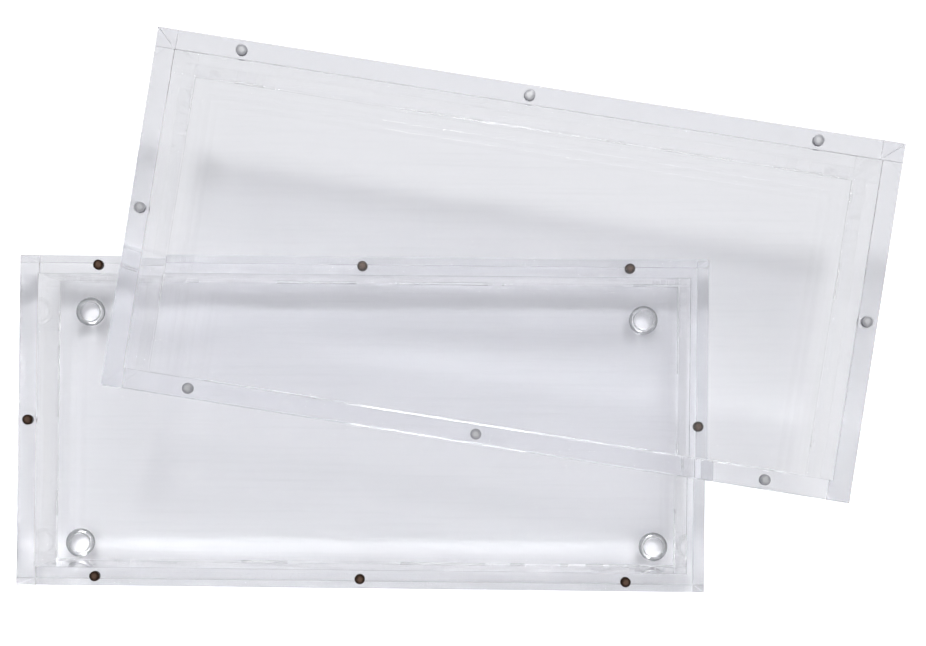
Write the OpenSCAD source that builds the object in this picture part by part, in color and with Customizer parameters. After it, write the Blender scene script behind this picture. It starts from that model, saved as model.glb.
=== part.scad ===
// Clear two-part magnetic display case: a shallow tray on four bumper feet, and a deeper cover.
// The cover lies upturned across the tray's rim, so both rims and all the magnets face up.
// Millimetres, +Z up. The origin is the centre of the set's footprint, on the surface the feet stand on.

/* [Case] */
// Outer length of tray and cover
case_l = 217.5; // [180:0.5:260]
// Outer width of tray and cover
case_w = 104.5; // [90:0.5:140]
// Thickness of the clear sheet
sheet_t = 5.8; // [5:0.1:8]
// Inner depth of the tray
tray_depth = 13.2; // [9:0.1:40]
// Inner depth of the cover
cover_depth = 16.8; // [9:0.1:60]

/* [Magnets] */
// Diameter of a magnet
magnet_d = 3.2; // [2:0.1:4]
// Thickness of a magnet
magnet_l = 1.6; // [1:0.1:8]
// Clearance between a magnet and its hole, on the radius
magnet_gap = 0.05; // [0.02:0.01:0.1]
// How far a magnet's end sits below the rim
magnet_sink = 0.1; // [0:0.05:0.5]
// Distance between the two corner magnets of a long side
corner_span = 168; // [120:1:170]

/* [Feet] */
// Diameter of a bumper foot
foot_d = 9.5; // [6:0.5:14]
// Height of a bumper foot
foot_h = 3.8; // [2.5:0.1:6]
// Diameter of the flat that a foot stands on
foot_flat_d = 3; // [2:0.5:4]
// Height of the straight band where a foot meets the floor
foot_band_h = 0.6; // [0.3:0.1:1]
// Front left foot's centre: how far in from the left end, and from the front
front_left_foot = [12, 11]; // [10:0.1:30]
// Front right foot's centre: how far in from the right end, and from the front
front_right_foot = [12, 11.7]; // [10:0.1:30]
// Back left foot's centre: how far in from the left end, and from the back
back_left_foot = [14.5, 15.4]; // [10:0.1:30]
// Back right foot's centre: how far in from the right end, and from the back
back_right_foot = [16.5, 16.7]; // [10:0.1:30]

/* [Layout] */
// How far the cover's centre lies to the right of the tray's
cover_x = 43; // [0:0.5:50]
// How far the cover's centre lies behind the tray's
cover_y = 45.9; // [0:0.1:46]
// Turn of the cover on the tray, clockwise from above
cover_turn = 8.4; // [0:0.1:15]

/* [Hidden] */
$fn = 64;

// Heights of the two rims above each part's own outer face
tray_h = sheet_t + tray_depth;
cover_h = sheet_t + cover_depth;

// A magnet stands in the middle of its wall, in a blind hole in the rim
magnet_x = (case_l - sheet_t) / 2;
magnet_y = (case_w - sheet_t) / 2;
hole_depth = magnet_l + magnet_sink;
hole_extra = 1;

// The foot's dome is a ball that passes through the rim of its flat and the foot of its band
dome_h = foot_h - foot_band_h;
dome_rise = (pow(foot_d / 2, 2) - pow(foot_flat_d / 2, 2) + pow(dome_h, 2)) / (2 * dome_h);
dome_r = sqrt(pow(dome_rise, 2) + pow(foot_flat_d / 2, 2));

// The footprint's centre, measured from the tray's centre
cover_half_x = (case_l * cos(cover_turn) + case_w * sin(cover_turn)) / 2;
cover_half_y = (case_l * sin(cover_turn) + case_w * cos(cover_turn)) / 2;
low_x = min(-case_l / 2, cover_x - cover_half_x);
high_x = max(case_l / 2, cover_x + cover_half_x);
low_y = min(-case_w / 2, cover_y - cover_half_y);
high_y = max(case_w / 2, cover_y + cover_half_y);
middle = [(low_x + high_x) / 2, (low_y + high_y) / 2, 0];

clear_tray = [0.90, 0.90, 0.94, 0.45];
clear_cover = [0.88, 0.90, 0.95, 0.45];
clear_foot = [0.93, 0.93, 0.95, 0.7];
bronze = [0.30, 0.20, 0.13];
nickel = [0.62, 0.62, 0.64];

// Puts a tray piece in its place: the tray's own origin is the middle of its floor's outer face
module in_tray() {
    translate([0, 0, foot_h] - middle) children();
}

// Puts a cover piece in its place: the cover's own origin is the middle of its panel's outer face
module in_cover() {
    translate([cover_x, cover_y, foot_h + tray_h] - middle)
        rotate([0, 0, -cover_turn]) children();
}

module sheet() {
    translate([-case_l / 2, -case_w / 2, 0]) cube([case_l, case_w, sheet_t]);
}

// A blind hole for a magnet, open at the rim
module magnet_hole(x, y, rim) {
    translate([x, y, rim - hole_depth])
        cylinder(d = magnet_d + 2 * magnet_gap, h = hole_depth + hole_extra);
}

module magnet(x, y, rim) {
    translate([x, y, rim - hole_depth]) cylinder(d = magnet_d, h = magnet_l);
}

// A tray wall on the floor sheet, from one corner to the opposite one
module tray_wall(from, to) {
    translate([from[0], from[1], sheet_t])
        cube([to[0] - from[0], to[1] - from[1], tray_depth]);
}

// A long tray wall's three magnet holes
module tray_row_holes(y) {
    for (x = [-corner_span / 2, 0, corner_span / 2]) magnet_hole(x, y, tray_h);
}

module tray_floor() {
    color(clear_tray) in_tray() sheet();
}

// The back wall runs the case's full length
module tray_back_wall() {
    color(clear_tray) in_tray() difference() {
        tray_wall([-case_l / 2, case_w / 2 - sheet_t], [case_l / 2, case_w / 2]);
        tray_row_holes(magnet_y);
    }
}

// The front wall stands between the two end walls
module tray_front_wall() {
    color(clear_tray) in_tray() difference() {
        tray_wall([-case_l / 2 + sheet_t, -case_w / 2], [case_l / 2 - sheet_t, -case_w / 2 + sheet_t]);
        tray_row_holes(-magnet_y);
    }
}

// An end wall runs from the front face to the back wall
module tray_end_wall(side) {
    outer = side * case_l / 2;
    inner = side * (case_l / 2 - sheet_t);
    color(clear_tray) in_tray() difference() {
        tray_wall([min(outer, inner), -case_w / 2], [max(outer, inner), case_w / 2 - sheet_t]);
        magnet_hole(side * magnet_x, 0, tray_h);
    }
}

module tray_left_wall() { tray_end_wall(-1); }

module tray_right_wall() { tray_end_wall(1); }

module tray_magnet(x, y) {
    color(bronze) in_tray() magnet(x, y, tray_h);
}

// A domed bumper under the floor, its flat on the surface. Each is stuck on by hand, at its own inset.
module tray_foot(side_x, side_y, inset) {
    color(clear_foot) in_tray()
        translate([side_x * (case_l / 2 - inset[0]), side_y * (case_w / 2 - inset[1]), -foot_h])
            intersection() {
                cylinder(d = foot_d, h = foot_h);
                union() {
                    translate([0, 0, dome_rise]) sphere(r = dome_r);
                    translate([0, 0, dome_h]) cylinder(d = foot_d, h = foot_band_h);
                }
            }
}

module cover_panel() {
    color(clear_cover) in_cover() sheet();
}

// A cover wall of a given length, along X, with its ends cut at 45 degrees
module mitred_wall(length) {
    translate([0, 0, sheet_t]) linear_extrude(height = cover_depth)
        polygon([
            [-length / 2, 0], [length / 2, 0],
            [length / 2 - sheet_t, -sheet_t], [-length / 2 + sheet_t, -sheet_t]
        ]);
}

// A long wall of the cover: side is 1 at the back and -1 at the front
module cover_long_wall(side) {
    color(clear_cover) in_cover() difference() {
        rotate([0, 0, side > 0 ? 0 : 180]) translate([0, case_w / 2, 0]) mitred_wall(case_l);
        for (x = [-corner_span / 2, 0, corner_span / 2]) magnet_hole(x, side * magnet_y, cover_h);
    }
}

module cover_back_wall() { cover_long_wall(1); }

module cover_front_wall() { cover_long_wall(-1); }

// An end wall of the cover: side is 1 at the right and -1 at the left
module cover_end_wall(side) {
    color(clear_cover) in_cover() difference() {
        rotate([0, 0, -side * 90]) translate([0, case_l / 2, 0]) mitred_wall(case_w);
        magnet_hole(side * magnet_x, 0, cover_h);
    }
}

module cover_left_wall() { cover_end_wall(-1); }

module cover_right_wall() { cover_end_wall(1); }

module cover_magnet(x, y) {
    color(nickel) in_cover() magnet(x, y, cover_h);
}

tray_floor();
tray_back_wall();
tray_front_wall();
tray_left_wall();
tray_right_wall();
tray_foot(-1, -1, front_left_foot);  // tray_foot_front_left
tray_foot(1, -1, front_right_foot);  // tray_foot_front_right
tray_foot(-1, 1, back_left_foot);  // tray_foot_back_left
tray_foot(1, 1, back_right_foot);  // tray_foot_back_right
tray_magnet(-corner_span / 2, magnet_y);  // tray_magnet_back_left
tray_magnet(0, magnet_y);  // tray_magnet_back_middle
tray_magnet(corner_span / 2, magnet_y);  // tray_magnet_back_right
tray_magnet(-corner_span / 2, -magnet_y);  // tray_magnet_front_left
tray_magnet(0, -magnet_y);  // tray_magnet_front_middle
tray_magnet(corner_span / 2, -magnet_y);  // tray_magnet_front_right
tray_magnet(-magnet_x, 0);  // tray_magnet_left_end
tray_magnet(magnet_x, 0);  // tray_magnet_right_end
cover_panel();
cover_back_wall();
cover_front_wall();
cover_left_wall();
cover_right_wall();
cover_magnet(-corner_span / 2, magnet_y);  // cover_magnet_back_left
cover_magnet(0, magnet_y);  // cover_magnet_back_middle
cover_magnet(corner_span / 2, magnet_y);  // cover_magnet_back_right
cover_magnet(-corner_span / 2, -magnet_y);  // cover_magnet_front_left
cover_magnet(0, -magnet_y);  // cover_magnet_front_middle
cover_magnet(corner_span / 2, -magnet_y);  // cover_magnet_front_right
cover_magnet(-magnet_x, 0);  // cover_magnet_left_end
cover_magnet(magnet_x, 0);  // cover_magnet_right_end
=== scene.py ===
"""The looks of a clear two-part magnetic case: cemented acrylic sheets, disc magnets and bumper feet."""

import math

import bmesh
import bpy
from mathutils import Matrix, Vector


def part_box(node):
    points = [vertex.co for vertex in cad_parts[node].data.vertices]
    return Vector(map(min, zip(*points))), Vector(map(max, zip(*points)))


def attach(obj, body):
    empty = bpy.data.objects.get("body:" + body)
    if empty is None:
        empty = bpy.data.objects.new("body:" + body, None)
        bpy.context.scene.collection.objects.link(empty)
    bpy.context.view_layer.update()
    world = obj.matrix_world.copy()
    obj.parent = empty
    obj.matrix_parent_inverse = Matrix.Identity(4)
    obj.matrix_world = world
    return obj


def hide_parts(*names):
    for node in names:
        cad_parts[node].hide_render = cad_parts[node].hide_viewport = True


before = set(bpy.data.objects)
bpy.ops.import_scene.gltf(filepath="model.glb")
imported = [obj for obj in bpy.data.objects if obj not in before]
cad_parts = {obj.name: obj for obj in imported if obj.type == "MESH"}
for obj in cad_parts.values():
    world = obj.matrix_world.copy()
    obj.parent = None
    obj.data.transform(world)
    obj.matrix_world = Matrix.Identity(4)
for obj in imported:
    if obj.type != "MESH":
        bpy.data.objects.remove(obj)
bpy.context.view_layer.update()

MM = 0.001

# ---------------------------------------------------------------- sizes taken from the frame


def middle(node):
    low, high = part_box(node)
    return (low + high) / 2


def nodes_named(start):
    return sorted(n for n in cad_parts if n.startswith(start))


FLOOR_LOW, FLOOR_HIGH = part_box("tray_floor")
PANEL_LOW, PANEL_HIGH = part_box("cover_panel")
LENGTH = FLOOR_HIGH.x - FLOOR_LOW.x
WIDTH = FLOOR_HIGH.y - FLOOR_LOW.y
SHEET = FLOOR_HIGH.z - FLOOR_LOW.z
TRAY_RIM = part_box("tray_back_wall")[1].z
COVER_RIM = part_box("cover_back_wall")[1].z
TRAY_MAGNETS = nodes_named("tray_magnet_")
COVER_MAGNETS = nodes_named("cover_magnet_")
FEET = nodes_named("tray_foot_")

# Each half has its own axes: the middle of its sheet, turned as it lies
ALONG = middle("cover_magnet_right_end") - middle("cover_magnet_left_end")
TRAY_PLACE = Matrix.Translation((middle("tray_floor").x, middle("tray_floor").y, 0))
COVER_PLACE = Matrix.Translation((middle("cover_panel").x, middle("cover_panel").y, 0)) @ Matrix.Rotation(
    math.atan2(ALONG.y, ALONG.x), 4, "Z"
)

# ---------------------------------------------------------------- colours and finishes

# Grains are in features per metre. Levels are the two values between which an effect grows or fades.
RUB_GRAIN = 900  # fine rub marks on every clear face
RUB_LEVELS = (0.62, 0.8)
RUB_ROUGHNESS = 0.05
SWIM_GRAIN = 55  # the faint swim of cast plastic
SWIM_HEIGHT = 0.2 * MM
HAIR_GRAIN = (25, 900, 900)  # hairline scuffs along the case
HAIR_LEVELS = (0.5, 0.75)
HAIR_STRENGTH = 0.012
HAIR_COLOUR = (0.9, 0.9, 0.93)
FLANK_SHADE_LEVELS = (0.54, 0.76)  # how level a foot's face is, from the flank with painted shade to the clear crown
FLANK_SHADE_STRENGTH = 0.52
FLANK_SHADE_COLOUR = (0.30, 0.31, 0.32)
SPECK_GRAIN = 1400  # bubbles in a cemented face
SPECK_LEVELS = (0.66, 0.75)
SPECK_STRENGTH = 0.05
SPECK_COLOUR = (0.85, 0.85, 0.88)
MILK_GRAIN = 45  # milky patches in squeezed-out cement
MILK_LEVELS = (0.4, 0.6)
MILK_STRENGTHS = (0.05, 0.4)
MILK_COLOUR = (1, 1, 1)
MOTTLE_GRAIN = 900  # mottled plating
MOTTLE_LEVELS = (0.3, 0.7)
MOTTLE_ROUGHNESS = 0.2
MOTTLE_SHIFT = 0.25  # how far the mottle moves the border of the magnet's darker rim
RIM_LEVELS = (0.3, 0.5)  # where that rim begins and is full, in magnet widths from the middle
ACRYLIC_IOR = 1.49
BUMPER_IOR = 1.5

# ---------------------------------------------------------------- node helpers

BOX_MIDDLE = (0.5, 0.5, 0.5)  # in coordinates that run from 0 to 1 over the object's box
LEVEL_ONLY = (1, 1, 0)


def material(name):
    mat = bpy.data.materials.new(name)
    mat.use_nodes = True
    nodes = mat.node_tree.nodes
    nodes.clear()
    return mat, nodes, mat.node_tree.links


def show(nodes, links, shader):
    """Makes the shader the one that the surface has."""
    out = nodes.new("ShaderNodeOutputMaterial")
    links.new(shader, out.inputs["Surface"])


def coloured(nodes, kind, colour):
    """A plain shader of this kind and colour."""
    shader = nodes.new("ShaderNode" + kind)
    shader.inputs["Color"].default_value = (*colour, 1)
    return shader.outputs[0]


def mixed(nodes, links, share, first, second):
    """The first shader, and as much of the second as the share says."""
    mix = nodes.new("ShaderNodeMixShader")
    if share is not None:
        links.new(share, mix.inputs["Fac"])
    links.new(first, mix.inputs[1])
    links.new(second, mix.inputs[2])
    return mix.outputs["Shader"]


def added(nodes, links, first, second):
    both = nodes.new("ShaderNodeAddShader")
    links.new(first, both.inputs[0])
    links.new(second, both.inputs[1])
    return both.outputs["Shader"]


def noise(nodes, links, grain, detail=3.0):
    """Cloudy noise. A grain with three values is drawn out along the axis of its lowest one."""
    where = nodes.new("ShaderNodeTexCoord")
    tex = nodes.new("ShaderNodeTexNoise")
    tex.inputs["Detail"].default_value = detail
    if isinstance(grain, tuple):
        fit = nodes.new("ShaderNodeMapping")
        fit.inputs["Scale"].default_value = grain
        tex.inputs["Scale"].default_value = 1
        links.new(where.outputs["Object"], fit.inputs["Vector"])
        links.new(fit.outputs["Vector"], tex.inputs["Vector"])
    else:
        tex.inputs["Scale"].default_value = grain
        links.new(where.outputs["Object"], tex.inputs["Vector"])
    return tex.outputs["Fac"]


def spread(nodes, links, source, levels, results):
    """Takes the source from its two levels to the two results."""
    ramp = nodes.new("ShaderNodeMapRange")
    ramp.inputs["From Min"].default_value, ramp.inputs["From Max"].default_value = levels
    ramp.inputs["To Min"].default_value, ramp.inputs["To Max"].default_value = results
    links.new(source, ramp.inputs["Value"])
    return ramp.outputs["Result"]


def upward(nodes, links, vector):
    """How far the vector points up."""
    apart = nodes.new("ShaderNodeSeparateXYZ")
    links.new(vector, apart.inputs["Vector"])
    return apart.outputs["Z"]


def off_centre(nodes, links):
    """How far a point lies from its object's upright axis, in shares of the object's width."""
    where = nodes.new("ShaderNodeTexCoord")
    away = nodes.new("ShaderNodeVectorMath")
    away.operation = "SUBTRACT"
    away.inputs[1].default_value = BOX_MIDDLE
    flat = nodes.new("ShaderNodeVectorMath")
    flat.operation = "MULTIPLY"
    flat.inputs[1].default_value = LEVEL_ONLY
    far = nodes.new("ShaderNodeVectorMath")
    far.operation = "LENGTH"
    links.new(where.outputs["Generated"], away.inputs[0])
    links.new(away.outputs["Vector"], flat.inputs[0])
    links.new(flat.outputs["Vector"], far.inputs[0])
    return far.outputs["Value"]


# ---------------------------------------------------------------- materials


def clear_glass(nodes, links, tint, ior, waviness):
    """Bends light, and its faces have a slight swim and a few fine rub marks."""
    glass = nodes.new("ShaderNodeBsdfPrincipled")
    glass.inputs["Base Color"].default_value = (*tint, 1)
    glass.inputs["IOR"].default_value = ior
    glass.inputs["Transmission Weight"].default_value = 1
    rub = noise(nodes, links, RUB_GRAIN, detail=4)
    links.new(spread(nodes, links, rub, RUB_LEVELS, (0, RUB_ROUGHNESS)), glass.inputs["Roughness"])
    bump = nodes.new("ShaderNodeBump")
    bump.inputs["Strength"].default_value = waviness
    bump.inputs["Distance"].default_value = SWIM_HEIGHT
    links.new(noise(nodes, links, SWIM_GRAIN, detail=2), bump.inputs["Height"])
    links.new(bump.outputs["Normal"], glass.inputs["Normal"])
    return glass.outputs["BSDF"]


def sheet_plastic(name, tint):
    """Clear acrylic with hairline scuffs that catch the light."""
    mat, nodes, links = material(name)
    glass = clear_glass(nodes, links, tint, ACRYLIC_IOR, waviness=0.05)
    scuff = coloured(nodes, "BsdfDiffuse", HAIR_COLOUR)
    share = spread(nodes, links, noise(nodes, links, HAIR_GRAIN), HAIR_LEVELS, (0, HAIR_STRENGTH))
    show(nodes, links, mixed(nodes, links, share, glass, scuff))
    return mat


def bumper_plastic(name, tint):
    """Clear soft plastic. The dome's steep flank is painted grey: a painted shade for the dark ring that
    light bent inside the dome shows.
    """
    mat, nodes, links = material(name)
    glass = clear_glass(nodes, links, tint, BUMPER_IOR, waviness=0.02)
    # painted shade: a flat grey mixed onto the dome's steep flank, more of it the steeper the face
    flank_shade = coloured(nodes, "BsdfDiffuse", FLANK_SHADE_COLOUR)
    form = nodes.new("ShaderNodeNewGeometry")
    level = nodes.new("ShaderNodeMath")
    level.operation = "ABSOLUTE"
    links.new(upward(nodes, links, form.outputs["True Normal"]), level.inputs[0])
    share = spread(nodes, links, level.outputs["Value"], FLANK_SHADE_LEVELS, (FLANK_SHADE_STRENGTH, 0))
    show(nodes, links, mixed(nodes, links, share, glass, flank_shade))
    return mat


def cement(name, passes):
    """A cemented joint: light goes straight on, a little of it lost."""
    mat, nodes, links = material(name)
    clear = coloured(nodes, "BsdfTransparent", passes)
    bubble = coloured(nodes, "BsdfDiffuse", SPECK_COLOUR)
    specks = noise(nodes, links, SPECK_GRAIN, detail=2)
    share = spread(nodes, links, specks, SPECK_LEVELS, (0, SPECK_STRENGTH))
    show(nodes, links, mixed(nodes, links, share, clear, bubble))
    return mat


def milky_cement(name, tint):
    """Set cement that lies open: clear as the sheets, and milky in patches where it holds fine bubbles."""
    mat, nodes, links = material(name)
    glass = clear_glass(nodes, links, tint, ACRYLIC_IOR, waviness=0.1)
    white = coloured(nodes, "BsdfDiffuse", MILK_COLOUR)
    through = coloured(nodes, "BsdfTranslucent", MILK_COLOUR)
    milk = mixed(nodes, links, None, white, through)
    patches = noise(nodes, links, MILK_GRAIN, detail=4)
    share = spread(nodes, links, patches, MILK_LEVELS, MILK_STRENGTHS)
    show(nodes, links, mixed(nodes, links, share, glass, milk))
    return mat


def plated(name, rim, centre, roughness):
    """A plated magnet's metal: mottled, and darker towards its rim."""
    mat, nodes, links = material(name)
    metal = nodes.new("ShaderNodeBsdfPrincipled")
    metal.inputs["Metallic"].default_value = 1
    mottle = noise(nodes, links, MOTTLE_GRAIN, detail=4)
    wobble = nodes.new("ShaderNodeMath")
    wobble.operation = "MULTIPLY_ADD"
    wobble.inputs[1].default_value = MOTTLE_SHIFT
    links.new(mottle, wobble.inputs[0])
    links.new(off_centre(nodes, links), wobble.inputs[2])
    blend = nodes.new("ShaderNodeMix")
    blend.data_type = "RGBA"
    inner, outer = [socket for socket in blend.inputs if socket.type == "RGBA"]
    inner.default_value = (*centre, 1)
    outer.default_value = (*rim, 1)
    shade = next(socket for socket in blend.outputs if socket.type == "RGBA")
    links.new(spread(nodes, links, wobble.outputs["Value"], RIM_LEVELS, (0, 1)), blend.inputs["Factor"])
    links.new(shade, metal.inputs["Base Color"])
    rough = spread(nodes, links, mottle, MOTTLE_LEVELS, (roughness, roughness + MOTTLE_ROUGHNESS))
    links.new(rough, metal.inputs["Roughness"])
    show(nodes, links, metal.outputs["BSDF"])
    return mat


ACRYLIC = sheet_plastic("clear_acrylic", tint=(0.956, 0.957, 0.968))
BUMPER = bumper_plastic("clear_bumper", tint=(0.97, 0.97, 0.975))
CEMENT = cement("cemented_face", passes=(0.995, 0.995, 0.998))
SQUEEZED = milky_cement("squeezed_cement", tint=(0.98, 0.98, 0.985))
BRONZE = plated("bronze_magnet", rim=(0.03, 0.017, 0.011), centre=(0.15, 0.095, 0.068), roughness=0.45)
NICKEL = plated("nickel_magnet", rim=(0.36, 0.36, 0.38), centre=(0.56, 0.56, 0.57), roughness=0.5)
SHEET_MATERIALS = (ACRYLIC, CEMENT, SQUEEZED)
CLEAR_FACE, CEMENTED_FACE, SQUEEZED_FACE = 0, 1, 2

# ---------------------------------------------------------------- sheets

EDGE = 0.2 * MM  # polished arris along every free edge
ARRIS_STEPS = 2
ARRIS_BEND = 0.9  # an edge is eased where the cosine between its two faces is below this
AIR_FILM = 0.03 * MM  # left between the tray's rim and the cover that lies on it
SEAM = 0.1 * MM  # width of the line that a mitre joint shows along its border
BEAD = 0.5 * MM  # width of the half-round line of cement squeezed out along the foot of each wall
BEAD_STEPS = 8
PROBE = 0.01 * MM  # how far outside a face to look for the sheet it is cemented to
OBLIQUE = 0.2  # a mitre's normal is this far from both axes
MAGNET_HOLE_GAP = 0.05 * MM
HOLE_STEPS = 64
DRILL_CLEAR = 1 * MM  # how far a drill sticks out
NEAR_HOLE = 1.01  # a hole's faces lie within this share of its radius
HOLE_FACE_MAX = 20 * MM * MM  # and are smaller than this
SHARP = math.radians(40)  # a sharper bend than this is a crease

HALF_L, HALF_W = LENGTH / 2, WIDTH / 2
IN_L, IN_W = HALF_L - SHEET, HALF_W - SHEET


class Sheet:
    """A flat sheet or wall: an outline seen from above, from one height to another, in its half's axes."""

    def __init__(self, node, outline, low, high, splits=()):
        self.node, self.outline, self.low, self.high, self.splits = node, outline, low, high, splits

    def holds(self, point):
        if not self.low < point.z < self.high:
            return False
        sides = zip(self.outline, self.outline[1:] + self.outline[:1])
        return all(
            (bx - ax) * (point.y - ay) - (by - ay) * (point.x - ax) > 0 for (ax, ay), (bx, by) in sides
        )


class Bead:
    """The half-round line of cement on a half's sheet, against its four walls."""

    def __init__(self, base):
        self.base = base

    def holds(self, point):
        inward = min(IN_L - abs(point.x), IN_W - abs(point.y))
        return 0 < inward < BEAD and self.base < point.z < self.base + BEAD / 2

    def section(self):
        """Points (in from the walls, up from the sheet), over the round from the inside to the walls."""
        angles = [math.pi * i / BEAD_STEPS for i in range(BEAD_STEPS + 1)]
        return [(BEAD / 2 * (1 + math.cos(a)), BEAD / 2 * math.sin(a)) for a in angles]


def rectangle(x0, x1, y0, y1):
    return [(x0, y0), (x1, y0), (x1, y1), (x0, y1)]


def turned(outline, quarter_turns):
    a = quarter_turns * math.pi / 2
    return [(x * math.cos(a) - y * math.sin(a), x * math.sin(a) + y * math.cos(a)) for x, y in outline]


def mitred(length, outer):
    """A wall along X with its outer face at y = outer and both ends cut at 45 degrees."""
    half = length / 2
    return [(-half + SHEET, outer - SHEET), (half - SHEET, outer - SHEET), (half, outer), (-half, outer)]


# Planes at which a sheet's faces are split, so that each face is either free or cemented
ACROSS_ENDS = [("x", -IN_L), ("x", IN_L)]
ACROSS_FRONT = [("y", -IN_W)]
ACROSS_SIDES = ACROSS_FRONT + [("y", IN_W)]
BESIDE_BEAD = [("x", BEAD - IN_L), ("x", IN_L - BEAD), ("y", BEAD - IN_W), ("y", IN_W - BEAD)]
UNDER_WALLS = ACROSS_ENDS + ACROSS_SIDES + BESIDE_BEAD
TRAY_TOP = TRAY_RIM - AIR_FILM

FULL_SHEET = rectangle(-HALF_L, HALF_L, -HALF_W, HALF_W)
LONG_WALL = mitred(LENGTH, HALF_W)
END_WALL = mitred(WIDTH, HALF_L)
BACK_WALL = rectangle(-HALF_L, HALF_L, IN_W, HALF_W)
FRONT_WALL = rectangle(-IN_L, IN_L, -HALF_W, -IN_W)
LEFT_WALL = rectangle(-HALF_L, -IN_L, -HALF_W, IN_W)
RIGHT_WALL = rectangle(IN_L, HALF_L, -HALF_W, IN_W)
TRAY = [
    Sheet("tray_floor", FULL_SHEET, FLOOR_LOW.z, FLOOR_HIGH.z, UNDER_WALLS),
    Sheet("tray_back_wall", BACK_WALL, FLOOR_HIGH.z, TRAY_TOP, ACROSS_ENDS),
    Sheet("tray_front_wall", FRONT_WALL, FLOOR_HIGH.z, TRAY_TOP),
    Sheet("tray_left_wall", LEFT_WALL, FLOOR_HIGH.z, TRAY_TOP, ACROSS_FRONT),
    Sheet("tray_right_wall", RIGHT_WALL, FLOOR_HIGH.z, TRAY_TOP, ACROSS_FRONT),
]
COVER = [
    Sheet("cover_panel", FULL_SHEET, PANEL_LOW.z, PANEL_HIGH.z, UNDER_WALLS),
    Sheet("cover_back_wall", LONG_WALL, PANEL_HIGH.z, COVER_RIM),
    Sheet("cover_front_wall", turned(LONG_WALL, 2), PANEL_HIGH.z, COVER_RIM),
    Sheet("cover_left_wall", turned(END_WALL, 1), PANEL_HIGH.z, COVER_RIM),
    Sheet("cover_right_wall", turned(END_WALL, 3), PANEL_HIGH.z, COVER_RIM),
]


def prism(sheet):
    """The sheet's solid, its faces split where a joint ends."""
    bm = bmesh.new()
    rows = [[bm.verts.new((x, y, z)) for x, y in sheet.outline] for z in (sheet.low, sheet.high)]
    count = len(sheet.outline)
    bm.faces.new(list(reversed(rows[0])))
    bm.faces.new(rows[1])
    for i in range(count):
        j = (i + 1) % count
        bm.faces.new((rows[0][i], rows[0][j], rows[1][j], rows[1][i]))
    for axis, value in sheet.splits:
        normal = Vector([float(axis == name) for name in "xyz"])
        bmesh.ops.bisect_plane(
            bm, geom=bm.verts[:] + bm.edges[:] + bm.faces[:], plane_co=normal * value, plane_no=normal
        )
    bm.normal_update()
    return bm


def mark_joints(bm, others):
    """Faces that touch another sheet or the bead of the same half are cemented."""
    for face in bm.faces:
        outside = face.calc_center_median() + face.normal * PROBE
        if any(other.holds(outside) for other in others):
            face.material_index = CEMENTED_FACE


def ease_edges(bm):
    """Bevels each edge between two free faces that meet at an angle."""
    free = [
        e
        for e in bm.edges
        if len(e.link_faces) == 2
        and all(f.material_index == CLEAR_FACE for f in e.link_faces)
        and e.link_faces[0].normal.dot(e.link_faces[1].normal) < ARRIS_BEND
    ]
    bmesh.ops.bevel(
        bm, geom=free, offset=EDGE, segments=ARRIS_STEPS, profile=0.5, affect="EDGES", material=-1
    )


def draw_mitre_lines(bm):
    """A mitre's cement shows as a thin line along its border."""
    for side in (1, -1):
        faces = [
            f
            for f in bm.faces
            if f.material_index == CEMENTED_FACE and OBLIQUE < side * f.normal.x < 1 - OBLIQUE
        ]
        if not faces:
            continue
        border = bmesh.ops.inset_region(
            bm, faces=faces, thickness=SEAM, use_boundary=True, use_even_offset=True
        )
        for face in border["faces"]:
            face.material_index = SQUEEZED_FACE


def new_object(name, bm, materials):
    mesh = bpy.data.meshes.new(name)
    bm.to_mesh(mesh)
    bm.free()
    for mat in materials:
        mesh.materials.append(mat)
    obj = bpy.data.objects.new(name, mesh)
    bpy.context.scene.collection.objects.link(obj)
    return obj


def drill(centre, radius, low, high, segments):
    """A round cutter."""
    bm = bmesh.new()
    bmesh.ops.create_cone(
        bm, cap_ends=True, segments=segments, radius1=radius, radius2=radius, depth=high - low,
        matrix=Matrix.Translation((centre.x, centre.y, (low + high) / 2)),
    )
    return new_object("drill", bm, ())


def cut(obj, cutters):
    """Takes the cutters out of obj, for good."""
    for cutter in cutters:
        mod = obj.modifiers.new("cut", "BOOLEAN")
        mod.operation = "DIFFERENCE"
        mod.solver = "EXACT"
        mod.object = cutter
    bpy.context.view_layer.update()
    made = bpy.data.meshes.new_from_object(obj.evaluated_get(bpy.context.evaluated_depsgraph_get()))
    obj.modifiers.clear()
    obj.data = made
    for cutter in cutters:
        bpy.data.objects.remove(cutter)


def in_outline(sheet, place, point):
    local = place.inverted() @ point
    return sheet.holds(Vector((local.x, local.y, (sheet.low + sheet.high) / 2)))


def set_magnets(obj, sheet, place, magnets):
    """Drills the rim for the magnets that stand in this wall. The holes are glued, so they look clear."""
    holes = []
    for magnet in magnets:
        if in_outline(sheet, place, middle(magnet)):
            low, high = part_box(magnet)
            holes.append((middle(magnet), (high.x - low.x) / 2 + MAGNET_HOLE_GAP, low.z))
    if not holes:
        return
    above = sheet.high + DRILL_CLEAR
    cut(obj, [drill(centre, radius, low, above, HOLE_STEPS) for centre, radius, low in holes])
    for face in obj.data.polygons:
        for centre, radius, low in holes:
            near = (Vector(face.center) - centre).xy.length < radius * NEAR_HOLE
            if near and abs(face.center.z - sheet.high) > EDGE and face.area < HOLE_FACE_MAX:
                face.material_index = CEMENTED_FACE


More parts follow.
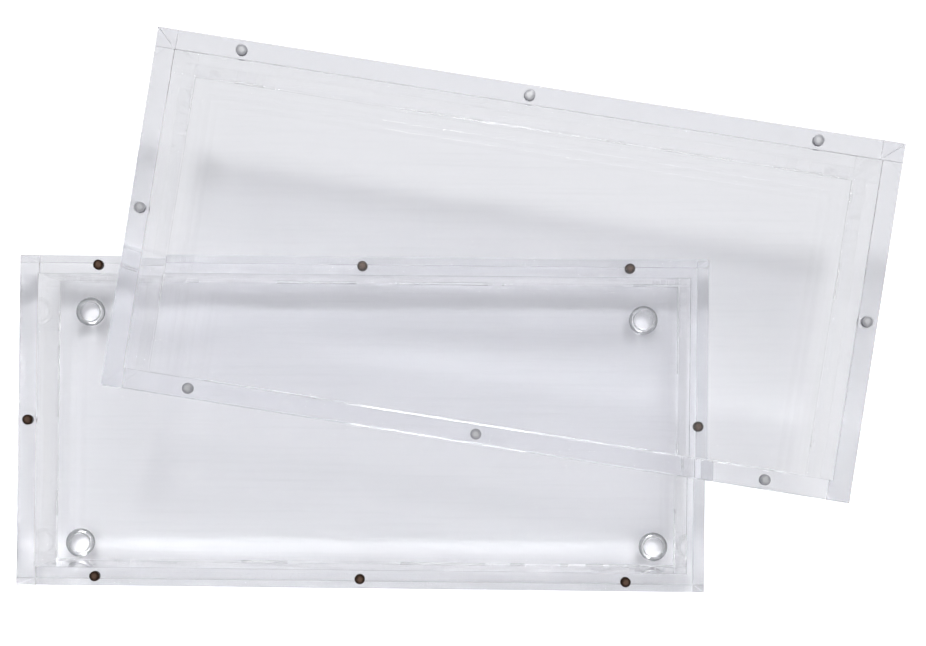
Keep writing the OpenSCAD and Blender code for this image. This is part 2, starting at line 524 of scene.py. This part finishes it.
def build_bead(bead, place, body):
    """Sweeps the bead's section round the four walls."""
    bm = bmesh.new()
    rings = []
    for inward, up in bead.section():
        corners = rectangle(inward - IN_L, IN_L - inward, inward - IN_W, IN_W - inward)
        rings.append([bm.verts.new((x, y, bead.base + up)) for x, y in corners])
    for i, ring in enumerate(rings):
        following = rings[(i + 1) % len(rings)]
        open_side = i < len(rings) - 1
        for a in range(4):
            b = (a + 1) % 4
            face = bm.faces.new((ring[a], ring[b], following[b], following[a]))
            face.material_index = SQUEEZED_FACE if open_side else CEMENTED_FACE
            face.smooth = open_side
    bmesh.ops.recalc_face_normals(bm, faces=bm.faces[:])
    bm.transform(place)
    obj = new_object(body + "_cement_bead", bm, SHEET_MATERIALS)
    obj.data.set_sharp_from_angle(angle=SHARP)
    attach(obj, body)


def build_sheet(sheet, neighbours, place, magnets, body):
    bm = prism(sheet)
    mark_joints(bm, neighbours)
    ease_edges(bm)
    draw_mitre_lines(bm)
    bm.transform(place)
    obj = new_object(sheet.node + "_clear", bm, SHEET_MATERIALS)
    set_magnets(obj, sheet, place, magnets)
    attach(obj, body)
    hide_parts(sheet.node)
    return obj


def build_half(sheets, place, magnets, body):
    """Builds the half's bead and sheets, and gives the sheets by node name."""
    bead = Bead(sheets[0].high)
    build_bead(bead, place, body)
    made = {}
    for sheet in sheets:
        neighbours = [s for s in sheets if s is not sheet] + [bead]
        made[sheet.node] = build_sheet(sheet, neighbours, place, magnets, body)
    return made


tray = build_half(TRAY, TRAY_PLACE, TRAY_MAGNETS, "tray")
build_half(COVER, COVER_PLACE, COVER_MAGNETS, "cover")

# ---------------------------------------------------------------- turned parts


def lathe(name, profile, steps, place, materials):
    """Turns a half section, (radius, height) points from axis to axis, about the vertical through place."""
    bm = bmesh.new()
    points = [bm.verts.new((r, 0, z)) for r, z in profile]
    edges = [bm.edges.new(pair) for pair in zip(points, points[1:])]
    bmesh.ops.spin(
        bm, geom=points + edges, cent=(0, 0, 0), axis=(0, 0, 1),
        angle=2 * math.pi, steps=steps, use_merge=True,
    )
    bmesh.ops.remove_doubles(bm, verts=bm.verts[:], dist=1e-7)
    bmesh.ops.recalc_face_normals(bm, faces=bm.faces[:])
    bm.transform(Matrix.Translation(place))
    return new_object(name, bm, materials)


def stand(node):
    """The middle of the node's lowest level, and its radius."""
    low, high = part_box(node)
    centre = (low + high) / 2
    return Vector((centre.x, centre.y, low.z)), (high.x - low.x) / 2


# ---------------------------------------------------------------- magnets

ROLL = 0.16 * MM  # radius of the rolled edge that tumbling and plating leave on a magnet
ROLL_STEPS = 4
MAGNET_STEPS = 48
MAGNET_SHARP = math.radians(50)


def quarter(centre, start):
    """Points round a quarter of a rolled edge, from the angle start."""
    angles = [start + math.pi / 2 * i / ROLL_STEPS for i in range(ROLL_STEPS + 1)]
    return [(centre[0] + ROLL * math.cos(a), centre[1] + ROLL * math.sin(a)) for a in angles]


def build_magnet(node, body, mat):
    low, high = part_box(node)
    base, radius = stand(node)
    thick = high.z - low.z
    bottom = quarter((radius - ROLL, ROLL), -math.pi / 2)
    top = quarter((radius - ROLL, thick - ROLL), 0)
    profile = [(0.0, 0.0)] + bottom + top + [(0.0, thick)]
    obj = lathe(node + "_disc", profile, MAGNET_STEPS, base, (mat,))
    obj.data.shade_smooth()
    obj.data.set_sharp_from_angle(angle=MAGNET_SHARP)
    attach(obj, body)
    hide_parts(node)


for name in TRAY_MAGNETS:
    build_magnet(name, "tray", BRONZE)
for name in COVER_MAGNETS:
    build_magnet(name, "cover", NICKEL)

# ---------------------------------------------------------------- feet

FOOT_FLAT = 1.5 * MM  # radius of the flat that a foot stands on
FOOT_BAND = 0.6 * MM  # height of the straight band under the floor
FOOT_SINK = 0.02 * MM  # the adhesive wets the floor, so the foot's top is let into it by a hair
DOME_STEPS = 24
FOOT_STEPS = 96
LEVEL_FACE = 0.9  # a face whose normal's height passes this is level


def foot_profile(radius, top):
    """Half the foot's section, from its flat up the dome and the band to its top."""
    dome = top - FOOT_BAND
    rise = (radius**2 - FOOT_FLAT**2 + dome**2) / (2 * dome)
    ball = math.hypot(rise, FOOT_FLAT)
    start = math.asin(FOOT_FLAT / ball)
    stop = math.acos((rise - dome) / ball)
    angles = [start + (stop - start) * i / DOME_STEPS for i in range(DOME_STEPS + 1)]
    arc = [(ball * math.sin(a), rise - ball * math.cos(a)) for a in angles]
    return [(0.0, 0.0)] + arc + [(radius, top), (0.0, top)]


def build_foot(node):
    low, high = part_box(node)
    base, radius = stand(node)
    profile = foot_profile(radius, high.z + FOOT_SINK - low.z)
    obj = lathe(node + "_bumper", profile, FOOT_STEPS, base, (BUMPER, CEMENT))
    for face in obj.data.polygons:
        on_top = face.center.z > high.z + FOOT_SINK / 2 and face.normal.z > LEVEL_FACE
        face.material_index = CEMENTED_FACE if on_top else CLEAR_FACE
        face.use_smooth = not on_top
    obj.data.set_sharp_from_angle(angle=SHARP)
    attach(obj, "tray")
    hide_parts(node)


def seat_feet(floor_sheet):
    """Lets the feet's tops into the floor's underside and marks the wetted discs."""
    spots = [stand(node) for node in FEET]
    below, seat_top = FLOOR_LOW.z - DRILL_CLEAR, FLOOR_LOW.z + FOOT_SINK
    cut(floor_sheet, [drill(base, radius, below, seat_top, FOOT_STEPS) for base, radius in spots])
    for face in floor_sheet.data.polygons:
        for base, radius in spots:
            under = abs(face.center.z - seat_top) < FOOT_SINK / 4
            if under and (Vector(face.center) - base).xy.length < radius:
                face.material_index = CEMENTED_FACE


for name in FEET:
    build_foot(name)
seat_feet(tray["tray_floor"])

# ---------------------------------------------------------------- stage

SURFACE_COLOUR = (0.86, 0.86, 0.87)
SURFACE_SIZE = 6.0
SURFACE_GAP = 0.05 * MM
BARE_LIFT = 0.5  # light added to the surface where it is seen bare and from above
STEEP_VIEW = (0.745, 0.775)  # sines of the elevation between which a view comes to count as from above
PAINTED_SPOT_GLOW = 0.26  # brightness of the painted spot of light that stands for the light a foot gathers
SPOT = 0.72  # radius of that spot, in foot radii
SPOT_FORWARD = 0.26  # how far towards the front it falls, in foot radii
SPOT_LEVELS = (0.25, 0.5)  # where its brightness begins to fall and is gone, in spot widths from the middle
SPOT_STEPS = 48

SKY = 0.69
HORIZON = (0.46, 0.465, 0.48)
HIGH_UP = (0.905, 0.912, 0.935)
HIGH_UP_AT = 0.8  # sine of the elevation at which the sky has this colour
OVERHEAD = (1.2, 1.21, 1.24)
OVERHEAD_AT = 0.92
BACKDROP = (0.83, 0.838, 0.852)


def build_surface():
    """A matt pale surface. Seen bare and from above, it is lifted to white, as in a cut-out picture."""
    mat, nodes, links = material("pale_surface")
    matt = coloured(nodes, "BsdfDiffuse", SURFACE_COLOUR)
    lift = nodes.new("ShaderNodeEmission")
    rays = nodes.new("ShaderNodeLightPath")
    form = nodes.new("ShaderNodeNewGeometry")
    bare = nodes.new("ShaderNodeMath")
    bare.operation = "MULTIPLY"
    steep = upward(nodes, links, form.outputs["Incoming"])
    links.new(spread(nodes, links, steep, STEEP_VIEW, (0, BARE_LIFT)), bare.inputs[0])
    links.new(rays.outputs["Is Camera Ray"], bare.inputs[1])
    links.new(bare.outputs["Value"], lift.inputs["Strength"])
    show(nodes, links, added(nodes, links, matt, lift.outputs["Emission"]))
    bm = bmesh.new()
    bmesh.ops.create_grid(bm, x_segments=1, y_segments=1, size=SURFACE_SIZE / 2)
    bm.transform(Matrix.Translation((0, 0, -SURFACE_GAP)))
    new_object("surface", bm, (mat,))


def build_painted_foot_light():
    """Paints a soft glowing spot on the surface under each foot: painted light that stands for the window's
    light gathered by a clear dome.
    """
    mat, nodes, links = material("painted_foot_light")
    matt = coloured(nodes, "BsdfDiffuse", SURFACE_COLOUR)
    # painted light: the disc glows, brightest in its middle and fading outwards
    glow = nodes.new("ShaderNodeEmission")
    fall = spread(nodes, links, off_centre(nodes, links), SPOT_LEVELS, (PAINTED_SPOT_GLOW, 0))
    links.new(fall, glow.inputs["Strength"])
    show(nodes, links, added(nodes, links, matt, glow.outputs["Emission"]))
    for node in FEET:
        base, radius = stand(node)
        bm = bmesh.new()
        bmesh.ops.create_circle(bm, cap_ends=True, segments=SPOT_STEPS, radius=radius * SPOT)
        bm.transform(Matrix.Translation((base.x, base.y - radius * SPOT_FORWARD, -SURFACE_GAP / 2)))
        new_object("painted_light_under_" + node, bm, (mat,))


def build_sky():
    """A pale studio, brightest overhead and darker low down. Seen directly, it is as pale as the surface."""
    world = bpy.data.worlds.new("studio")
    bpy.context.scene.world = world
    world.use_nodes = True
    nodes, links = world.node_tree.nodes, world.node_tree.links
    nodes.clear()
    where = nodes.new("ShaderNodeTexCoord")
    ramp = nodes.new("ShaderNodeValToRGB")
    low, high = ramp.color_ramp.elements
    low.color = (*HORIZON, 1)
    high.position = HIGH_UP_AT
    high.color = (*HIGH_UP, 1)
    overhead = ramp.color_ramp.elements.new(OVERHEAD_AT)
    overhead.color = (*OVERHEAD, 1)
    links.new(upward(nodes, links, where.outputs["Generated"]), ramp.inputs["Fac"])
    glow = nodes.new("ShaderNodeBackground")
    glow.inputs["Strength"].default_value = SKY
    links.new(ramp.outputs["Color"], glow.inputs["Color"])
    backdrop = coloured(nodes, "Background", BACKDROP)
    rays = nodes.new("ShaderNodeLightPath")
    seen = mixed(nodes, links, rays.outputs["Is Camera Ray"], glow.outputs["Background"], backdrop)
    out = nodes.new("ShaderNodeOutputWorld")
    links.new(seen, out.inputs["Surface"])


build_surface()
build_painted_foot_light()
build_sky()

# ---------------------------------------------------------------- windows

WINDOW_UP = math.radians(46)


def build_window(name, power, towards_right, wide):
    """Daylight from behind the case, from a window that is this many degrees wide and off to the right."""
    light = bpy.data.lights.new(name, "SUN")
    light.energy = power
    light.angle = math.radians(wide)
    obj = bpy.data.objects.new(name, light)
    side = math.radians(towards_right)
    level, up = math.cos(WINDOW_UP), math.sin(WINDOW_UP)
    towards = Vector((math.sin(side) * level, math.cos(side) * level, up))
    obj.rotation_mode = "QUATERNION"
    obj.rotation_quaternion = towards.to_track_quat("Z", "Y")
    bpy.context.scene.collection.objects.link(obj)


build_window("window", power=1.1, towards_right=6, wide=14)
build_window("side_window", power=0.45, towards_right=28, wide=18)

# ---------------------------------------------------------------- camera

# It looks down almost plumb, from beside the tray's middle
CAMERA_RIGHT = 31.3 * MM
CAMERA_BACK = -1.7 * MM
CAMERA_UP = 246.3 * MM  # above the tray's rim
CAMERA_TURN = math.radians(0.613)
CAMERA_TILT = (math.radians(0.196), math.radians(0.221))
CAMERA_SENSOR = 36  # mm, as Blender counts lenses
CAMERA_LENS = 30.32
CAMERA_SHIFT = (0.0062, 0.1122)
CAMERA_NEAR, CAMERA_FAR = 0.01, 20
SHIFT_REACH = 15 * MM  # closer keys than 10 mm would merge


def build_camera():
    cam = bpy.data.cameras.new("camera")
    cam.sensor_width = CAMERA_SENSOR
    cam.lens = CAMERA_LENS
    cam.clip_start = CAMERA_NEAR
    cam.clip_end = CAMERA_FAR
    obj = bpy.data.objects.new("camera", cam)
    tray_middle = middle("tray_floor")
    obj.location = (tray_middle.x + CAMERA_RIGHT, tray_middle.y + CAMERA_BACK, TRAY_RIM + CAMERA_UP)
    obj.rotation_mode = "QUATERNION"
    turn = Matrix.Rotation(CAMERA_TURN, 3, "Z") @ Matrix.Rotation(CAMERA_TILT[0], 3, "X")
    turn = turn @ Matrix.Rotation(CAMERA_TILT[1], 3, "Y")
    obj.rotation_quaternion = turn.to_quaternion()
    bpy.context.scene.collection.objects.link(obj)
    bpy.context.scene.camera = obj
    for axis, amount in zip("xy", CAMERA_SHIFT):
        shift_only_here(cam, obj, "shift_" + axis, amount)


def shift_only_here(cam, obj, channel, amount):
    """The picture is a crop, so its lens is shifted. A view from any other height has no shift."""
    curve = cam.driver_add(channel)
    driver = curve.driver
    driver.type = "AVERAGE"
    height = driver.variables.new()
    height.name = "height"
    height.type = "TRANSFORMS"
    height.targets[0].id = obj
    height.targets[0].transform_type = "LOC_Z"
    height.targets[0].transform_space = "WORLD_SPACE"
    for modifier in list(curve.modifiers):
        curve.modifiers.remove(modifier)
    here = obj.location.z
    for z, value in ((here - SHIFT_REACH, 0), (here, amount), (here + SHIFT_REACH, 0)):
        curve.keyframe_points.insert(z, value).interpolation = "LINEAR"


build_camera()

# ---------------------------------------------------------------- render details that clear plastic needs

# Light reaches a wall's foot only after many bounces, and each one inside a sheet counts as a glossy one
BOUNCES = 32

scene = bpy.context.scene
scene.view_settings.view_transform = "Standard"
scene.cycles.max_bounces = BOUNCES
scene.cycles.transmission_bounces = BOUNCES
scene.cycles.glossy_bounces = BOUNCES
scene.cycles.transparent_max_bounces = 2 * BOUNCES
scene.cycles.blur_glossy = 0.0
scene.cycles.sample_clamp_indirect = 0.0
scene.cycles.use_denoising = True
